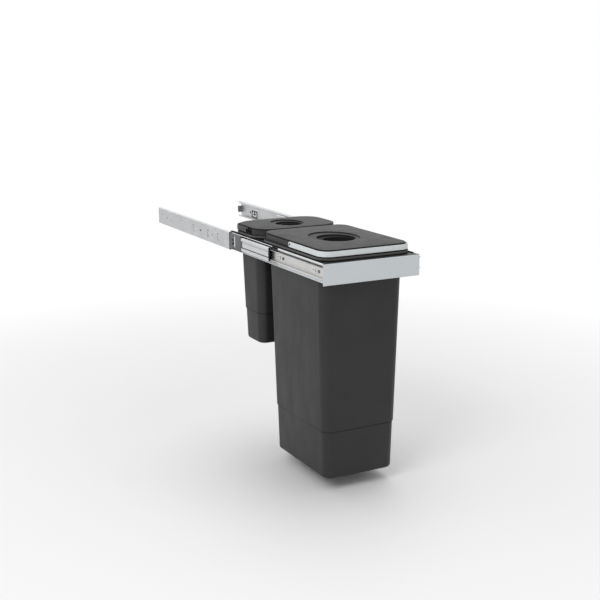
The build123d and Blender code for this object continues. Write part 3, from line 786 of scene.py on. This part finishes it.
# %% Inner cages and lip shade strips
CAGE_FAR, CAGE_NEAR, CAGE_SHEET, CAGE_HALF = 128.1, 122.9, 0.6, 14.0
CAGE_FRONT, CAGE_WEB_FRONT, CAGE_BACK, CAGE_EDGE = -254.5, -221.0, -44.5, 0.15
web_sides, web_half = (CAGE_FAR - CAGE_SHEET, CAGE_FAR), CAGE_HALF - CAGE_SHEET
cage_bars = [(web_sides, (CAGE_WEB_FRONT, CAGE_BACK), (-web_half, web_half))]
for low in (web_half, -CAGE_HALF):
    cage_bars.append(((CAGE_NEAR, CAGE_FAR), (CAGE_FRONT, CAGE_BACK), (low, low + CAGE_SHEET)))
for side, sign in SIDES.items():
    body = f"{side}_inner_cage"
    cage = bar_piece(
        f"{body}_strip", body, black_plastic, (sign,), cage_bars, (body,)
    )
    soften(cage, CAGE_EDGE, 1)

# Painted shade: black strips on the top rail's lip where the gap to the middle member is dark.
LIP_SHADE_SIDES, LIP_SHADE_FRONT, LIP_SHADE_BACK, LIP_SHADE_EDGE = (121.5, 122.1), -250.0, 24.0, 0.1
LIP_SHADE_TALL, LIP_SHADE_NARROW = (16.0, FRAME_TOP + 0.3), (15.8, 18.9)
lip_shade_bars = (
    (LIP_SHADE_SIDES, (LIP_SHADE_FRONT, CAGE_WEB_FRONT), LIP_SHADE_TALL),
    (LIP_SHADE_SIDES, (CAGE_WEB_FRONT, LIP_SHADE_BACK), LIP_SHADE_NARROW),
)
lip_shade = bar_piece(
    "lip_shade_strips", "frame", black_plastic, BOTH_SIDES, lip_shade_bars
)
soften(lip_shade, LIP_SHADE_EDGE, 1)

# %% [markdown]
# ## Front ends of the outer cages
# The steel strip that keeps the outer balls apart ends in a tongue over the middle member.
# Behind the tongue it has a bright band and three black marks. All of them lie flat
# on the strip, within its gap to the outer rail.

# %% Front ends of the outer cages
TONGUE_SIDES, MARK_SIDES, FRONT_EDGE = (129.9, 130.5), (129.9, 130.7), 0.08
CAGE_FRONTS = {
    "tongue": (dull_steel, ((TONGUE_SIDES, (-69.0, -60.0), (-8.0, 8.5)),)),
    "band": (zinc_steel, ((MARK_SIDES, (-31.0, -24.0), (-12.0, 15.0)),)),
    "black_marks": (
        black_plastic,
        (
            (MARK_SIDES, (-21.0, -15.0), (2.7, 8.0)),
            (MARK_SIDES, (-22.0, -15.0), (-6.0, 0.5)),
            (MARK_SIDES, (-21.0, -14.0), (-17.7, -14.5)),
        ),
    ),
}
for side, sign in SIDES.items():
    body = f"{side}_outer_cage"
    for part, (finish, bars) in CAGE_FRONTS.items():
        front = bar_piece(f"{body}_{part}", body, finish, (sign,), bars)
        soften(front, FRONT_EDGE, 1)

# %% [markdown]
# ## Catch shade
# Near its back each outer rail carries a small catch on the inside of its web, which shows
# on the far rail. It holds the closed frame. It is thin wire and sheet on the real slide. Its
# outline is drawn here as black flat bars, which are painted shade for the dark gaps round
# it: a closed loop, a tongue in it and a stud behind it.

# %% Catch shade
CATCH_SIDES, CATCH_EDGE = (130.0, 130.8), 0.15
CATCH_SHADE_BARS = (
    (CATCH_SIDES, (392.0, 428.0), (1.6, 4.0)),
    (CATCH_SIDES, (425.0, 428.0), (-14.0, 1.6)),
    (CATCH_SIDES, (392.0, 395.6), (-14.0, 1.6)),
    (CATCH_SIDES, (392.0, 428.0), (-16.6, -14.0)),
    (CATCH_SIDES, (407.0, 411.0), (-5.5, 1.6)),
    (CATCH_SIDES, (403.0, 415.0), (-8.0, -5.5)),
    (CATCH_SIDES, (435.0, 440.0), (-5.0, 0.5)),
)
# Painted shade: black bars for the dark gaps round each catch.
for side, sign in SIDES.items():
    catch_shade = bar_piece(
        f"{side}_rail_catch_shade", "wall_rails", black_plastic, (sign,), CATCH_SHADE_BARS
    )
    soften(catch_shade, CATCH_EDGE, 1)

# %% [markdown]
# ## Hubs of the small handle
# The small bin's handle turns on a broader black hub, which shows as a dark spot. It is a
# disc: a circle extruded by the thickness of the pin's head.

# %% Hubs of the small handle
HUB_RADIUS, HUB_INNER, HUB_OUTER, HUB_Y, HUB_Z = 5.0, 115.5, 116.4, -68.225, 35.7
HUB_POINTS, HUB_EDGE = 40, 0.2
hub_bm = bmesh.new()
for sign in BOTH_SIDES:
    verts = bmesh.ops.create_circle(
        hub_bm, segments=HUB_POINTS, radius=HUB_RADIUS * MM, cap_ends=True
    )["verts"]
    bmesh.ops.rotate(hub_bm, verts=verts, matrix=Matrix.Rotation(math.pi / 2, 3, "Y"))
    place = (sign * HUB_INNER * MM, HUB_Y * MM, HUB_Z * MM)
    bmesh.ops.translate(hub_bm, verts=verts, vec=place)
    thickness = sign * (HUB_OUTER - HUB_INNER) * MM
    extrude_face(hub_bm, verts[0].link_faces[0], (thickness, 0, 0))
hubs = new_piece("small_handle_hubs", hub_bm, "small_bin", (black_plastic,))
soften(hubs, HUB_EDGE)

# %% [markdown]
# ## Camera
# The camera stands where the photograph was taken from, which was worked out from straight
# edges in it. Three turns give its direction: to the side, down and a slight roll.

# %% Camera
FOCAL_PIXELS, PICTURE_PIXELS, SENSOR_WIDTH = 1086.6, 600.0, 36.0
CAMERA_PLACE = Vector((-1217.7, -2460.3, 468.2)) * MM
YAW, PITCH, ROLL = 0.48074, 0.22739, -0.00674
FARTHEST = 50.0
level_forward = Vector((math.sin(YAW), math.cos(YAW), 0.0))
forward = level_forward * math.cos(PITCH) - Vector((0.0, 0.0, math.sin(PITCH)))
level_right = Vector((math.cos(YAW), -math.sin(YAW), 0.0))
level_up = level_right.cross(forward)
right = level_right * math.cos(ROLL) + level_up * math.sin(ROLL)
up = right.cross(forward)
camera_data = bpy.data.cameras.new("camera")
camera_data.sensor_width = SENSOR_WIDTH
camera_data.lens = SENSOR_WIDTH * FOCAL_PIXELS / PICTURE_PIXELS
camera_data.clip_end = FARTHEST
camera = bpy.data.objects.new("camera", camera_data)
bpy.context.scene.collection.objects.link(camera)
turn = Matrix((right, up, -forward)).transposed().to_4x4()
camera.matrix_world = Matrix.Translation(CAMERA_PLACE) @ turn
bpy.context.scene.camera = camera
print("lens", round(camera_data.lens, 1), "mm")

# %% [markdown]
# ## Floor
# The floor is a wide disc, far enough below the bins to catch their shadow.

# %% Floor
FLOOR_GAP, FLOOR_RADIUS, FLOOR_POINTS = 0.03, 12.0, 96
low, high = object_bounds()
floor_mesh = bpy.data.meshes.new("floor")
floor_bm = bmesh.new()
bmesh.ops.create_circle(floor_bm, cap_ends=True, segments=FLOOR_POINTS, radius=FLOOR_RADIUS)
bmesh.ops.translate(floor_bm, verts=floor_bm.verts, vec=(0, 0, low.z - FLOOR_GAP))
floor_bm.to_mesh(floor_mesh)
floor_bm.free()
floor = bpy.data.objects.new("floor", floor_mesh)
bpy.context.scene.collection.objects.link(floor)
print("floor at", round(low.z - FLOOR_GAP, 3), "m")

# %% [markdown]
# Near the object the floor has a pale, matt paint. Away from it the paint turns into plain
# white light, so that no horizon shows. Only the camera sees that light, so it doesn't
# light the object from below.

# %% Floor paint
FLOOR_CLOUDS, FLOOR_ROUGHNESS = 0.6, 0.6
FLOOR_TONES = ((0.80, 0.80, 0.80), (0.84, 0.84, 0.84))
FADE_START, FADE_END = 0.7, 1.8
WHITE = (1.0, 1.0, 1.0, 1.0)
floor_material, tree, shader = start_material("floor_paint")
add_colour(tree, shader, noise(tree, FLOOR_CLOUDS), *FLOOR_TONES)
shader.inputs["Roughness"].default_value = FLOOR_ROUGHNESS
place = tree.nodes.new("ShaderNodeTexCoord")
reach = tree.nodes.new("ShaderNodeVectorMath")
reach.operation = "LENGTH"
tree.links.new(place.outputs["Object"], reach.inputs[0])
fade = spread(tree, reach.outputs["Value"], FADE_START, FADE_END, 0.0, 1.0)
rays = tree.nodes.new("ShaderNodeLightPath")
white_light = tree.nodes.new("ShaderNodeEmission")
white_light.inputs["Color"].default_value = WHITE
mix = tree.nodes.new("ShaderNodeMixShader")
faded = combine(tree, "MULTIPLY", rays.outputs["Is Camera Ray"], fade)
tree.links.new(faded, mix.inputs["Fac"])
tree.links.new(shader.outputs["BSDF"], mix.inputs[1])
tree.links.new(white_light.outputs["Emission"], mix.inputs[2])
tree.links.new(mix.outputs["Shader"], tree.nodes["Material Output"].inputs["Surface"])
floor_mesh.materials.append(floor_material)
print("floor fades from", FADE_START, "to", FADE_END, "m")

# %% [markdown]
# ## Light
# The world is an even white sky. The camera and glossy surfaces see it at full white, and
# it lights the object with a little less.

# %% World
SKY_LIGHT, SKY_SEEN = 0.62, 1.0
world = bpy.data.worlds.new("studio")
world.use_nodes = True
bpy.context.scene.world = world
sky = world.node_tree
background = sky.nodes["Background"]
rays = sky.nodes.new("ShaderNodeLightPath")
seen = combine(sky, "MAXIMUM", rays.outputs["Is Camera Ray"], rays.outputs["Is Glossy Ray"])
strength = spread(sky, seen, 0.0, 1.0, SKY_LIGHT, SKY_SEEN)
background.inputs["Color"].default_value = WHITE
sky.links.new(strength, background.inputs["Strength"])
print("sky", SKY_LIGHT, "as light")

# %% [markdown]
# Two large soft lamps do the rest: one from the left and front, so that the near side of
# each piece is a little lighter than its front, and one from above and behind for the lids.

# %% Lamps
KEY_PLACE, TOP_PLACE = (-2.6, -1.6, 2.2), (0.6, 0.4, 3.0)
LID_MIDDLE, BIN_MIDDLE = (0.0, -0.1, 0.0), (0.0, -0.1, -0.1)


def soft_lamp(name, place, aim, size, power):
    """A square area lamp that faces a point."""
    data = bpy.data.lights.new(name, "AREA")
    data.energy = power
    data.size = size
    lamp = bpy.data.objects.new(name, data)
    bpy.context.scene.collection.objects.link(lamp)
    lamp.location = place
    lamp.rotation_euler = (Vector(aim) - Vector(place)).to_track_quat("-Z", "Y").to_euler()
    print(name, power, "W")


soft_lamp("key_lamp", KEY_PLACE, BIN_MIDDLE, size=1.8, power=42.0)
soft_lamp("top_lamp", TOP_PLACE, LID_MIDDLE, size=2.4, power=40.0)
bpy.context.scene.view_settings.view_transform = "Standard"
